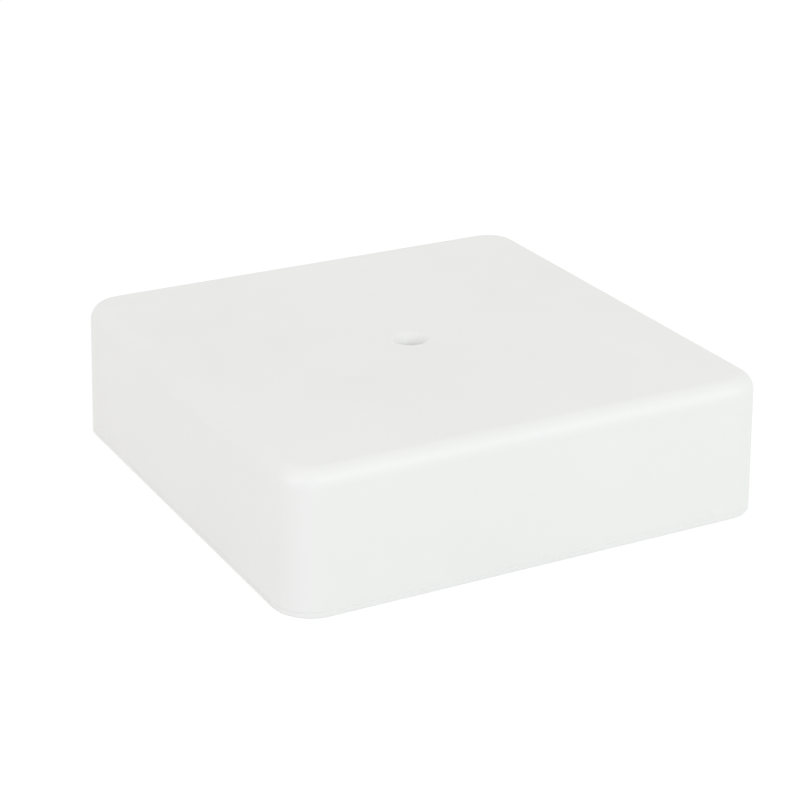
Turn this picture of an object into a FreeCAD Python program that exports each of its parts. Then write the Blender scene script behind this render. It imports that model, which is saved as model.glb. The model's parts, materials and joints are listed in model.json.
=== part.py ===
import FreeCAD, Part
import math
import os

# Trunking junction box: a deep moulded cover over a flat base with four pillar terminals.
# Millimetres. The origin is the middle of the base's underside, and +Z points away from the wall.

# Outer form
box_side = 80.0
box_height = 22.0
corner_radius = 6.2
top_edge_radius = 2.7
draft_degrees = 1.5
lip_height = 0.8
parting_chamfer = 0.15

# Cover
cover_wall = 1.6
cover_roof = 1.8
roof_edge_chamfer = 1.2
boss_radius = 3.8
boss_length = 3.0
screw_hole_radius = 1.5
countersink_radius = 2.3
countersink_rim_chamfer = 0.15
rib_thickness = 1.0
rib_depth = 2.0
rib_reach = 18.0

# Break-out entries for trunking, scored into the inside of each wall
narrow_entry_width = 16.4
medium_entry_width = 25.4
wide_entry_width = 40.4
narrow_entry_height = 10.2
entry_head_room = 3.0
score_width = 0.7
score_web = 0.7

# Base plate and the rims that locate the cover
base_thickness = 2.0
rim_clearance = 0.3
rim_thickness = 1.4
rim_height = 5.0
rim_lead_in = 0.4
rim_gap_margin = 2.0

# Wall fixing slots and rear cable knock-outs
slot_length = 9.0
slot_width = 4.5
slot_edge_gap = 5.2
rear_entry_radius = 8.0
rear_entry_edge_gap = 1.7
rear_score_web = 0.8

# Post for the cover's screw, and the webs that part the terminals
post_radius = 3.8
post_gap = 0.2
pilot_radius = 1.2
pilot_depth = 11.0
web_thickness = 1.4
web_height = 9.0
web_end_height = 4.0

# Pillar terminals and the sockets that hold them
terminal_pitch = 25.0
terminal_side = 9.0
terminal_edge = 0.5
wire_way_radius = 2.2
wire_way_floor = 1.8
thread_length = 2.4
socket_clearance = 0.1
socket_wall = 1.4
cheek_height = 5.0
sill_drop = 0.4

# Clamping screws, shown backed off
screw_radius = 1.75
screw_clearance = 0.05
screw_travel = 3.0
screw_tip_gap = 0.2
screw_head_radius = 3.0
screw_head_height = 1.6
screw_head_chamfer = 0.5
screw_head_gap = 0.3
driver_slot_width = 0.8
driver_slot_depth = 0.8

# Places that follow from the sizes above
draft = math.tan(math.radians(draft_degrees))
half_side = box_side / 2
roof_z = box_height - cover_roof
rim_inset = cover_wall + rim_clearance
rim_inner_half = half_side - rim_inset - rim_thickness
rim_gap = wide_entry_width + 2 * rim_gap_margin
floor_z = base_thickness
deep_entry_height = roof_z - roof_edge_chamfer - entry_head_room
slot_centre = rim_inner_half - slot_edge_gap - slot_length / 2
rear_entry_centre = rim_inner_half - rear_entry_edge_gap - rear_entry_radius
post_top_z = roof_z - boss_length - post_gap
terminal_centre = terminal_pitch / 2
terminal_half = terminal_side / 2
web_reach = terminal_centre + terminal_half
wire_way_z = floor_z + wire_way_floor + wire_way_radius
wire_way_top_z = wire_way_z + wire_way_radius
terminal_top_z = wire_way_top_z + thread_length
screw_tip_z = wire_way_top_z + screw_tip_gap
screw_head_z = terminal_top_z + screw_head_gap + screw_travel

# Quadrant of each terminal: signs of its X and Y
terminals = {
    "line": (-1, -1),
    "neutral": (1, -1),
    "earth": (1, 1),
    "switch": (-1, 1),
}

UP = FreeCAD.Vector(0, 0, 1)
ORIGIN = FreeCAD.Vector(0, 0, 0)
SAME = 1e-6


def rounded_square(half, radius, z):
    """Wire of a square with rounded corners, at height z."""
    flat = half - radius
    bulge = flat + radius * math.sqrt(0.5)
    edges = []
    for quarter in range(4):
        turn = FreeCAD.Rotation(UP, 90 * quarter)
        start = turn.multVec(FreeCAD.Vector(half, -flat, z))
        end = turn.multVec(FreeCAD.Vector(half, flat, z))
        middle = turn.multVec(FreeCAD.Vector(bulge, bulge, z))
        after = turn.multVec(FreeCAD.Vector(flat, half, z))
        edges.append(Part.LineSegment(start, end).toShape())
        edges.append(Part.Arc(end, middle, after).toShape())
    return Part.Wire(edges)


def wall_outline(inset, z):
    """Outline of the drafted walls at height z, moved inwards by inset."""
    inward = inset + (z - lip_height) * draft
    return rounded_square(half_side - inward, corner_radius - inward, z)


def drafted_block(inset, bottom, top):
    """Solid block that follows the drafted walls between two heights."""
    return Part.makeLoft([wall_outline(inset, bottom), wall_outline(inset, top)], True, True)


def edges_at(shape, z):
    """Edges of a shape that lie in the level plane at height z."""
    return [edge for edge in shape.Edges if all(abs(v.Z - z) < SAME for v in edge.Vertexes)]


def box_between(low, high):
    """Box from its lowest corner to its highest corner."""
    size = [b - a for a, b in zip(low, high)]
    return Part.makeBox(size[0], size[1], size[2], FreeCAD.Vector(*low))


def cylinder(radius, bottom, top, x=0.0, y=0.0):
    """Upright cylinder between two heights."""
    return Part.makeCylinder(radius, top - bottom, FreeCAD.Vector(x, y, bottom), UP)


def cone(lower_radius, upper_radius, bottom, top, x=0.0, y=0.0):
    """Upright cone frustum between two heights."""
    return Part.makeCone(lower_radius, upper_radius, top - bottom, FreeCAD.Vector(x, y, bottom), UP)


def slotted_hole(length, width, bottom, top, x, y):
    """Slot with round ends that runs along X, as a cutting solid."""
    reach = (length - width) / 2
    low = (x - reach, y - width / 2, bottom)
    high = (x + reach, y + width / 2, top)
    ends = [cylinder(width / 2, bottom, top, x + side * reach, y) for side in (-1, 1)]
    return box_between(low, high).multiFuse(ends).removeSplitter()


def quarter_turns(shape):
    """Four copies of a shape, a quarter turn apart about the box's axis."""
    copies = []
    for quarter in range(4):
        copy = shape.copy()
        copy.rotate(ORIGIN, UP, 90 * quarter)
        copies.append(copy)
    return copies


def entry_score(width, height):
    """Cutting solid of one U-shaped score line, on the wall that faces -Y."""
    inner_y = cover_wall - half_side
    outer_y = score_web - half_side
    below = 0
    half_score = score_width / 2
    spread = width / 2
    clear_y = inner_y + cover_wall
    outside = box_between(
        (-spread - half_score, outer_y, below),
        (spread + half_score, clear_y, height + half_score),
    )
    inside = box_between(
        (half_score - spread, outer_y, below),
        (spread - half_score, clear_y, height - half_score),
    )
    score = outside.cut(inside)
    foot = FreeCAD.Vector(0, inner_y, lip_height)
    score.rotate(foot, FreeCAD.Vector(1, 0, 0), -draft_degrees)
    return score


def cover_shell():
    """Drafted cap with a rounded top edge, hollow from below."""
    outside = drafted_block(0, lip_height, box_height)
    outside = outside.makeFillet(top_edge_radius, edges_at(outside, box_height))
    outside = outside.makeChamfer(parting_chamfer, edges_at(outside, lip_height))
    hollow = drafted_block(cover_wall, lip_height, roof_z)
    hollow = hollow.makeChamfer(roof_edge_chamfer, edges_at(hollow, roof_z))
    return outside.cut(hollow)


def cover_boss():
    """Boss under the roof that lands on the post, with four stiffening ribs."""
    inside_roof = roof_z + cover_roof / 2
    boss = cylinder(boss_radius, roof_z - boss_length, inside_roof)
    rib = box_between(
        (0, -rib_thickness / 2, roof_z - rib_depth),
        (rib_reach, rib_thickness / 2, inside_roof),
    )
    return boss.multiFuse(quarter_turns(rib))


def cover_screw_hole():
    """Countersunk hole through the roof and the boss, as a cutting solid."""
    countersink_depth = countersink_radius - screw_hole_radius
    shaft = cylinder(screw_hole_radius, roof_z - boss_length, box_height)
    head = cone(screw_hole_radius, countersink_radius, box_height - countersink_depth, box_height)
    return shaft.fuse(head)


def make_cover():
    """Cover with its boss, countersunk hole and scored trunking entries."""
    cover = cover_shell().fuse(cover_boss())
    cover = cover.cut(cover_screw_hole())
    rims = [
        edge
        for edge in edges_at(cover, box_height)
        if isinstance(edge.Curve, Part.Circle) and abs(edge.Curve.Radius - countersink_radius) < SAME
    ]
    cover = cover.makeChamfer(countersink_rim_chamfer, rims)
    entries = (
        (narrow_entry_width, narrow_entry_height),
        (medium_entry_width, deep_entry_height),
        (wide_entry_width, deep_entry_height),
    )
    scores = []
    for width, height in entries:
        scores.extend(quarter_turns(entry_score(width, height)))
    return cover.cut(scores).removeSplitter()


def base_plate():
    """Flush lip with the thicker floor inside the cover, slotted and scored."""
    lip = Part.Face(rounded_square(half_side, corner_radius, 0)).extrude(UP * lip_height)
    lip = lip.makeChamfer(parting_chamfer, edges_at(lip, lip_height))
    plate = lip.fuse(drafted_block(rim_inset, lip_height, floor_z))
    cuts = []
    for x in (-slot_centre, slot_centre):
        for y in (-slot_centre, slot_centre):
            cuts.append(slotted_hole(slot_length, slot_width, 0, floor_z, x, y))
    for y in (-rear_entry_centre, rear_entry_centre):
        ring = cylinder(rear_entry_radius, rear_score_web, floor_z, 0, y)
        cuts.append(ring.cut(cylinder(rear_entry_radius - score_width, rear_score_web, floor_z, 0, y)))
    return plate.cut(cuts)


def corner_rims():
    """Four rims that follow the cover's inside at its corners."""
    rim_top = floor_z + rim_height
    outside = drafted_block(rim_inset, lip_height, rim_top)
    outside = outside.makeChamfer(rim_lead_in, edges_at(outside, rim_top))
    inside = rounded_square(rim_inner_half, corner_radius - rim_inset - rim_thickness, lip_height)
    ring = outside.cut(Part.Face(inside).extrude(UP * (rim_top - lip_height)))
    gap = rim_gap / 2
    across = box_between((-half_side, -gap, 0), (half_side, gap, rim_top))
    along = box_between((-gap, -half_side, 0), (gap, half_side, rim_top))
    return ring.cut([across, along])


def screw_post():
    """Post with a pilot hole, and webs that part the terminals."""
    post = cylinder(post_radius, lip_height, post_top_z)
    profile = Part.makePolygon([
        FreeCAD.Vector(0, -web_thickness / 2, lip_height),
        FreeCAD.Vector(web_reach, -web_thickness / 2, lip_height),
        FreeCAD.Vector(web_reach, -web_thickness / 2, floor_z + web_end_height),
        FreeCAD.Vector(0, -web_thickness / 2, floor_z + web_height),
        FreeCAD.Vector(0, -web_thickness / 2, lip_height),
    ])
    web = Part.Face(profile).extrude(FreeCAD.Vector(0, web_thickness, 0))
    pilot = cylinder(pilot_radius, post_top_z - pilot_depth, post_top_z)
    return post.multiFuse(quarter_turns(web)).cut(pilot)


def terminal_socket(x, y):
    """Low sill and two cheeks round one terminal."""
    inner = terminal_half + socket_clearance
    outer = inner + socket_wall
    sill_top = floor_z + wire_way_floor - sill_drop
    cheek_top = floor_z + cheek_height
    socket = box_between((x - outer, y - outer, lip_height), (x + outer, y + outer, sill_top))
    cheeks = box_between((x - inner, y - outer, lip_height), (x + inner, y + outer, cheek_top))
    pocket = box_between((x - inner, y - inner, floor_z), (x + inner, y + inner, cheek_top))
    return socket.fuse(cheeks).cut(pocket)


def make_base():
    """Base moulding: plate, rims, post with webs, and the terminal sockets."""
    raised = [corner_rims(), screw_post()]
    for sign_x, sign_y in terminals.values():
        raised.append(terminal_socket(sign_x * terminal_centre, sign_y * terminal_centre))
    return base_plate().multiFuse(raised).removeSplitter()


def make_terminal(x, y):
    """Brass pillar with a wire way along X and a tapped hole from above."""
    low = (x - terminal_half, y - terminal_half, floor_z)
    high = (x + terminal_half, y + terminal_half, terminal_top_z)
    pillar = box_between(low, high)
    edges = [edge for edge in pillar.Edges if edge.BoundBox.ZMax > floor_z + terminal_edge]
    pillar = pillar.makeChamfer(terminal_edge, edges)
    mouth = FreeCAD.Vector(low[0], y, wire_way_z)
    wire_way = Part.makeCylinder(wire_way_radius, terminal_side, mouth, FreeCAD.Vector(1, 0, 0))
    tapped = cylinder(screw_radius + screw_clearance, wire_way_z, terminal_top_z, x, y)
    return pillar.cut([wire_way, tapped])


def make_clamp_screw(x, y):
    """Slotted cheese-head screw that stands above its terminal by its travel."""
    head_top = screw_head_z + screw_head_height
    shank = cylinder(screw_radius, screw_tip_z, screw_head_z, x, y)
    head = cylinder(screw_head_radius, screw_head_z, head_top, x, y)
    head = head.makeChamfer(screw_head_chamfer, edges_at(head, head_top))
    slot = box_between(
        (x - screw_head_radius, y - driver_slot_width / 2, head_top - driver_slot_depth),
        (x + screw_head_radius, y + driver_slot_width / 2, head_top),
    )
    return shank.fuse(head).cut(slot).removeSplitter()


def build_nodes():
    """Every piece of the box by its name."""
    nodes = {"base": make_base(), "cover": make_cover()}
    for name, (sign_x, sign_y) in terminals.items():
        x = sign_x * terminal_centre
        y = sign_y * terminal_centre
        nodes["terminal_" + name] = make_terminal(x, y)
        nodes["clamp_screw_" + name] = make_clamp_screw(x, y)
    return nodes


def main():
    """Write one file for each piece."""
    os.makedirs("parts", exist_ok=True)
    for name, shape in build_nodes().items():
        shape.exportStep("parts/" + name + ".step")


main()
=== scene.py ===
import json
import logging
import math
from abc import ABC, abstractmethod
from dataclasses import dataclass, field
from enum import Enum
from typing import Iterable, Sequence

import bmesh
import bpy
from bmesh.types import BMesh
from bpy.types import ID, Material, Node, NodeSocket, NodeTree, Object
from mathutils import Matrix, Vector


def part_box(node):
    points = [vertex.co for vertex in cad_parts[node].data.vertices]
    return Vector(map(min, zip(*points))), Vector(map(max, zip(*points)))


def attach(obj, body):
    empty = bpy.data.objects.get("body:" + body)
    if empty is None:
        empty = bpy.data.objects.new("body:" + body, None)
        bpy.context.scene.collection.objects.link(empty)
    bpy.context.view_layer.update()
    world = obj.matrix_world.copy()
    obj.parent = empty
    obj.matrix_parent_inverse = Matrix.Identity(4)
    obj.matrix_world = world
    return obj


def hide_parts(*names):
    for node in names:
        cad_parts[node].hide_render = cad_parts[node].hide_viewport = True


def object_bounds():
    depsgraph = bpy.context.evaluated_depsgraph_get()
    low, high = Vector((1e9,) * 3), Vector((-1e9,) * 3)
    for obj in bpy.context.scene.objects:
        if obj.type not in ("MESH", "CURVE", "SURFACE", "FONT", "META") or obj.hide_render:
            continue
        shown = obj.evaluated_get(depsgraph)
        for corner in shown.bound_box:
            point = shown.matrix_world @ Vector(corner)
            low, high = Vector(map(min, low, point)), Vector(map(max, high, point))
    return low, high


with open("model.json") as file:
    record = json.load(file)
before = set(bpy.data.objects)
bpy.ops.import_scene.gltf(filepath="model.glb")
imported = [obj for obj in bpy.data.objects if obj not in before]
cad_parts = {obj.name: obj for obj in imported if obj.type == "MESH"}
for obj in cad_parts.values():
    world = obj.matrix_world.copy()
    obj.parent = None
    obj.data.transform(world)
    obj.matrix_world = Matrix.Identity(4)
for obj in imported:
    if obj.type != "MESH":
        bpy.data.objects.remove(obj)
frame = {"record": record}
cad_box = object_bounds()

# Trunking junction box: a deep white cover over a flat base with four brass pillar terminals.
# Meshes are drafted in millimetres, about the middle of the base's underside.
# Each piece is scaled to metres when it is dressed.

MM = 0.001
QUARTER = math.pi / 2
QUARTERS = 4  # walls, corners and quarter turns of the box
SINK = 0.6  # how far a part reaches into what carries it, and a cutter past what it cuts
SKEW = 0.02  # offset that keeps two drafted faces out of one plane
EDGE_STEPS = 4  # steps round a small edge
ROOT_STEPS = 5  # steps round the hollow at the foot of a part
BEND_STEPS = 5  # steps round a bend of a groove
BEVEL_STEPS = 2  # steps across a broken edge
BEVEL_ROUND = 0.5  # shape of a broken edge that is part of a circle
SHARP_ANGLE = math.radians(32)  # a stronger turn between two faces stays a crease
NOISE_DETAIL = 3.0  # finer and finer noises that are added up
NOISE_ROUGHNESS = 0.55  # strength of each finer noise against the one before
NOISE_LOW, NOISE_HIGH = 0.3, 0.7  # most of a noise lies between these
FLANK_START, FLANK_END = 0.06, 0.42  # ends of a thread's flank, in pitches from the middle of its crest
LOG = logging.getLogger("junction_box")

Point = tuple[float, float]
Triple = tuple[float, float, float]
Profile = list[Point]
Ring = list[Vector]


class Joining(Enum):
    """How one draft is combined with another."""

    UNION = "UNION"
    CUT = "DIFFERENCE"


class Ends(Enum):
    """How a loft is closed."""

    LOOP = "last ring joined to the first"
    CAPS = "flat face on the first and on the last ring"


class Facing(Enum):
    """Which way a level face looks."""

    UP = 1
    DOWN = -1


class Conductor(Enum):
    """What a terminal takes, as the names of its nodes and mounts say it."""

    LINE = "line"
    NEUTRAL = "neutral"
    EARTH = "earth"
    SWITCH = "switch"


# Node trees


class NodeSheet:
    """Adds and links the nodes of one tree."""

    def __init__(self, tree: NodeTree) -> None:
        """Takes the tree to work on."""
        self.tree = tree

    def feed(self, target: NodeSocket, value: object) -> None:
        """Gives an input its value.

        Args:
            target: the input socket.
            value: an output socket to link, or a plain value.
        """
        if isinstance(value, NodeSocket):
            self.tree.links.new(value, target)
        else:
            target.default_value = value

    def add(self, kind: str, values: dict | None = None, **settings: object) -> Node:
        """Adds one node.

        Args:
            kind: the node's type.
            values: sockets or plain values of its inputs, by name or number.
            settings: properties of the node itself.

        Returns:
            The new node.
        """
        node = self.tree.nodes.new(kind)
        for key, value in settings.items():
            setattr(node, key, value)
        for key, value in (values or {}).items():
            self.feed(node.inputs[key], value)
        return node

    def math(self, operation: str, first: object, second: object) -> NodeSocket:
        """Adds an operation on two sockets or plain values and gives its result."""
        return self.add("ShaderNodeMath", {0: first, 1: second}, operation=operation).outputs[0]


class SurfaceSheet(NodeSheet):
    """Nodes of one material, with the patterns that its finish is made of."""

    def noise(self, scale: float, stretch: Triple = (1, 1, 1)) -> NodeSocket:
        """Adds noise on Object coordinates.

        Args:
            scale: patches in a metre.
            stretch: factor of the pattern along X, Y and Z.

        Returns:
            The noise's value, from 0 to 1.
        """
        where = self.add("ShaderNodeTexCoord")
        mapping = self.add("ShaderNodeMapping", {"Vector": where.outputs["Object"], "Scale": stretch})
        pattern = {"Scale": scale, "Detail": NOISE_DETAIL, "Roughness": NOISE_ROUGHNESS}
        texture = self.add("ShaderNodeTexNoise", {"Vector": mapping.outputs["Vector"], **pattern})
        return texture.outputs["Fac"]

    def spread(self, value: NodeSocket, low: float = 0.0, high: float = 1.0) -> NodeSocket:
        """Maps most of a noise onto the range from low to high."""
        limits = {"From Min": NOISE_LOW, "From Max": NOISE_HIGH, "To Min": low, "To Max": high}
        return self.add("ShaderNodeMapRange", {"Value": value, **limits}).outputs["Result"]

    def tint(self, value: NodeSocket, first: Triple, second: Triple) -> NodeSocket:
        """Mixes two colours by a value.

        Args:
            value: share of the second colour.
            first: linear colour at 0.
            second: linear colour at 1.

        Returns:
            The mixed colour.
        """
        ramp = self.add("ShaderNodeValToRGB", {"Fac": value})
        for element, colour in zip(ramp.color_ramp.elements, (first, second)):
            element.color = (*colour, 1)
        return ramp.outputs["Color"]

    def relief(self, value: NodeSocket, depth: float) -> NodeSocket:
        """Turns a noise into a relief of that depth in metres and gives its normal."""
        bump = self.add("ShaderNodeBump", {"Height": value, "Strength": 1.0, "Distance": depth})
        return bump.outputs["Normal"]


# Finishes


@dataclass(frozen=True)
class Finish(ABC):
    """Procedural material of one kind of surface.

    Attributes:
        name: name of the material.
        slot: slot of the record that the finish stands for; not used.
    """

    name: str
    slot: str

    def material(self) -> Material:
        """Gives the finish as a material, which is made at its first use.

        Returns:
            The material.
        """
        material = bpy.data.materials.get(self.name)
        if material is None:
            material = bpy.data.materials.new(self.name)
            material.use_nodes = True
            sheet = SurfaceSheet(material.node_tree)
            shader = material.node_tree.nodes["Principled BSDF"]
            for name, value in self.paint(sheet).items():
                sheet.feed(shader.inputs[name], value)
        return material

    @abstractmethod
    def paint(self, sheet: SurfaceSheet) -> dict[str, object]:
        """Makes the finish's patterns.

        Args:
            sheet: nodes of the material.

        Returns:
            Sockets and plain values, by the name of the shader's input that takes them.
        """


@dataclass(frozen=True)
class MouldedPlastic(Finish):
    """White plastic off a satin mould, with faint flow patches and a fine spark grain."""

    pale: Triple = (0.880, 0.880, 0.866)
    deep: Triple = (0.859, 0.860, 0.846)
    flow_scale: float = 32.0
    gloss_scale: float = 160.0
    smooth: float = 0.36
    rough: float = 0.44
    grain_scale: float = 2600.0
    grain_depth: float = 0.0000045
    refraction: float = 1.49

    def paint(self, sheet: SurfaceSheet) -> dict[str, object]:
        """Makes the flow patches, the uneven gloss and the grain.

        Args:
            sheet: nodes of the material.

        Returns:
            What the shader's inputs take.
        """
        flow = sheet.spread(sheet.noise(self.flow_scale))
        gloss = sheet.noise(self.gloss_scale)
        grain = sheet.noise(self.grain_scale)
        return {
            "Base Color": sheet.tint(flow, self.deep, self.pale),
            "Roughness": sheet.spread(gloss, self.smooth, self.rough),
            "Normal": sheet.relief(grain, self.grain_depth),
            "IOR": self.refraction,
        }


@dataclass(frozen=True)
class CutMetal(Finish):
    """Bare metal with fine tool lines.

    Attributes:
        bright: linear colour of clean metal.
        dull: linear colour of slightly tarnished metal.
        lines: lines of the tool in a metre.
        stretch: factor of the pattern along X, Y and Z, small along the lines.
        smooth: lowest roughness.
        rough: highest roughness.
        line_depth: height of the lines in metres.
        patch_scale: patches of tarnish in a metre.
    """

    bright: Triple
    dull: Triple
    lines: float
    stretch: Triple
    smooth: float
    rough: float
    line_depth: float
    patch_scale: float = 220.0

    def paint(self, sheet: SurfaceSheet) -> dict[str, object]:
        """Makes the tarnish and the tool lines.

        Args:
            sheet: nodes of the material.

        Returns:
            What the shader's inputs take.
        """
        patches = sheet.spread(sheet.noise(self.patch_scale))
        lines = sheet.noise(self.lines, self.stretch)
        return {
            "Base Color": sheet.tint(patches, self.dull, self.bright),
            "Roughness": sheet.spread(lines, self.smooth, self.rough),
            "Normal": sheet.relief(lines, self.line_depth),
            "Metallic": 1.0,
        }


WHITE_PLASTIC = MouldedPlastic(name="white_satin_plastic", slot="moulded_plastic")
BRASS = CutMetal(
    name="machined_brass",
    slot="brass",
    bright=(0.80, 0.60, 0.29),
    dull=(0.66, 0.46, 0.20),
    lines=2400.0,
    stretch=(1.0, 0.06, 0.06),
    smooth=0.24,
    rough=0.36,
    line_depth=0.000004,
)
ZINC_PLATE = CutMetal(
    name="zinc_plated_steel",
    slot="plated_steel",
    bright=(0.70, 0.71, 0.73),
    dull=(0.55, 0.56, 0.58),
    lines=1900.0,
    stretch=(1.0, 1.0, 1.0),
    smooth=0.26,
    rough=0.40,
    line_depth=0.000003,
)


# Drafting of meshes


def arc(centre: Point, radius: float, start: float, end: float, steps: int) -> Profile:
    """Lays points along an arc of a profile.

    Args:
        centre: middle of the arc.
        radius: its radius.
        start: angle of the first point.
        end: angle of the last point.
        steps: steps between them.

    Returns:
        The points, both ends with them.
    """
    points = []
    for step in range(steps + 1):
        angle = start + (end - start) * step / steps
        points.append((centre[0] + radius * math.cos(angle), centre[1] + radius * math.sin(angle)))
    return points


def crown(x: float, z: float, radius: float, steps: int = EDGE_STEPS) -> Profile:
    """Round edge of a part, from its side at x over to its top at z."""
    return arc((x - radius, z - radius), radius, 0, QUARTER, steps)


def hollow(x: float, z: float, radius: float) -> Profile:
    """Hollow at the foot of a part, from the face at z up to the part's side at x."""
    return arc((x + radius, z + radius - SKEW), radius, -QUARTER, -math.pi, ROOT_STEPS)


def put(name: str, data: ID) -> Object:
    """Puts a mesh, a light or a camera into the scene.

    Args:
        name: name of the object.
        data: what the object shows.

    Returns:
        The new object.
    """
    obj = bpy.data.objects.new(name, data)
    bpy.context.scene.collection.objects.link(obj)
    return obj


def put_draft(name: str, draft: BMesh) -> Object:
    """Puts a draft into the scene, with its faces outwards.

    Args:
        name: name of the object.
        draft: the draft, which is used up.

    Returns:
        The new object.
    """
    bmesh.ops.recalc_face_normals(draft, faces=draft.faces)
    mesh = bpy.data.meshes.new(name)
    draft.to_mesh(mesh)
    draft.free()
    return put(name, mesh)


def loft(name: str, rings: Sequence[Ring], ends: Ends, edge: float = 0.0) -> Object:
    """Stretches a closed skin over rings that have as many points each.

    Args:
        name: name of the object.
        rings: the rings in order.
        ends: how the skin is closed.
        edge: width of its broken edges, or 0 for sharp ones.

    Returns:
        The object.
    """
    draft = bmesh.new()
    loops = [[draft.verts.new(point) for point in ring] for ring in rings]
    pairs = list(zip(loops, loops[1:]))
    if ends is Ends.LOOP:
        pairs.append((loops[-1], loops[0]))
    else:
        draft.faces.new(loops[0])
        draft.faces.new(loops[-1])
    for lower, upper in pairs:
        for number, start in enumerate(lower):
            after = (number + 1) % len(lower)
            draft.faces.new((start, lower[after], upper[after], upper[number]))
    if edge > 0:
        shape = {"offset": edge, "segments": BEVEL_STEPS, "profile": BEVEL_ROUND, "affect": "EDGES"}
        bmesh.ops.recalc_face_normals(draft, faces=draft.faces)
        bmesh.ops.bevel(draft, geom=draft.edges, **shape)
    return put_draft(name, draft)


def lathe(name: str, profile: Profile, steps: int, axis: Matrix, ends: Ends = Ends.CAPS) -> Object:
    """Turns a profile of radii and heights round an axis.

    Args:
        name: name of the object.
        profile: points from one end to the other.
        steps: steps round the axis.
        axis: frame whose Z is the axis.
        ends: how the skin is closed.

    Returns:
        The object.
    """
    angles = [math.tau * step / steps for step in range(steps)]
    rings = []
    for radius, height in profile:
        ring = [Vector((radius * math.cos(angle), radius * math.sin(angle), height)) for angle in angles]
        rings.append([axis @ point for point in ring])
    return loft(name, rings, ends)


def slab(name: str, low: Sequence[float], high: Sequence[float], edge: float = 0.0) -> Object:
    """Makes a box between two corners.

    Args:
        name: name of the object.
        low: its lowest corner.
        high: its highest corner.
        edge: width of its broken edges, or 0 for sharp ones.

    Returns:
        The object.
    """
    corners = ((low[0], low[1]), (high[0], low[1]), (high[0], high[1]), (low[0], high[1]))
    rings = [[Vector((x, y, z)) for x, y in corners] for z in (low[2], high[2])]
    return loft(name, rings, Ends.CAPS, edge)


def settle(obj: Object) -> None:
    """Turns an object's modifiers into plain mesh.

    Args:
        obj: the object, which is left without modifiers.
    """
    graph = bpy.context.evaluated_depsgraph_get()
    mesh = bpy.data.meshes.new_from_object(obj.evaluated_get(graph))
    draft = obj.data
    obj.modifiers.clear()
    obj.data = mesh
    bpy.data.meshes.remove(draft)


def combine(target: Object, tool: Object, how: Joining) -> None:
    """Joins or cuts an object with another, which is used up.

    Args:
        target: the object that changes.
        tool: the object that is joined to it or cut out of it.
        how: what is done.
    """
    modifier = target.modifiers.new(how.name, "BOOLEAN")
    modifier.operation = how.value
    modifier.solver = "EXACT"
    modifier.object = tool
    settle(target)
    bpy.data.objects.remove(tool)


@dataclass(frozen=True)
class RoundedSquare:
    """Square outline with rounded corners about the box's axis.

    Attributes:
        half: half of its side.
        radius: radius of its corners.
    """

    half: float
    radius: float


@dataclass(frozen=True)
class RingGrid:
    """Spacing of the points on every ring of a loft.

    Attributes:
        corner_steps: steps round each corner.
        side_steps: steps along each side.
        support: width of the strip that keeps a flat face flat beside a curve.
    """

    corner_steps: int = 20
    side_steps: int = 10
    support: float = 0.4

    def square(self, outline: RoundedSquare, z: float) -> Ring:
        """Lays a ring along a rounded square.

        Args:
            outline: the square.
            z: height of the ring.

        Returns:
            The ring.
        """
        flat = outline.half - outline.radius
        reach = flat - self.support
        quarter = []
        for step in range(self.side_steps + 1):
            quarter.append(Vector((outline.half, reach * (2 * step / self.side_steps - 1), z)))
        for x, y in arc((flat, flat), outline.radius, 0, QUARTER, self.corner_steps):
            quarter.append(Vector((x, y, z)))
        turns = [Matrix.Rotation(QUARTER * number, 3, "Z") for number in range(QUARTERS)]
        return [turn @ point for turn in turns for point in quarter]

    def circle(self, radius: float, z: float) -> Ring:
        """Lays a ring along a circle, in step with the square rings.

        Args:
            radius: radius of the circle.
            z: height of the ring.

        Returns:
            The ring.
        """
        per_quarter = self.side_steps + self.corner_steps + 2
        corner_middle = self.side_steps + 1 + self.corner_steps / 2
        ring = []
        for number in range(QUARTERS * per_quarter):
            angle = QUARTER * (0.5 + (number - corner_middle) / per_quarter)
            ring.append(Vector((radius * math.cos(angle), radius * math.sin(angle), z)))
        return ring


@dataclass(frozen=True)
class Walls:
    """Drafted outline that the cover and the base follow.

    Attributes:
        half_side: half of the side at the parting line.
        lip_z: height of the parting line.
        corner_radius: radius of the upright corners there.
        draft: lean of the walls.
    """

    half_side: float
    lip_z: float
    corner_radius: float = 6.2
    draft: float = math.radians(1.5)

    def lean(self, z: float) -> float:
        """How far the walls have come inwards at height z."""
        return (z - self.lip_z) * math.tan(self.draft)

    def inset(self, distance: float) -> RoundedSquare:
        """The outline at the parting line, moved inwards by a distance."""
        return RoundedSquare(self.half_side - distance, self.corner_radius - distance)

    def shoulder(self, inset: float, top_z: float, radius: float, steps: int) -> Profile:
        """Rounds the walls over into a level face.

        Args:
            inset: distance of the wall inside the outline.
            top_z: height of the face.
            radius: radius of the rounding.
            steps: steps round it.

        Returns:
            Insets and heights from the wall to the face.
        """
        centre_z = top_z - radius
        centre = inset + self.lean(centre_z) + radius / math.cos(self.draft)
        return arc((centre, centre_z), radius, math.pi - self.draft, QUARTER, steps)


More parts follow.
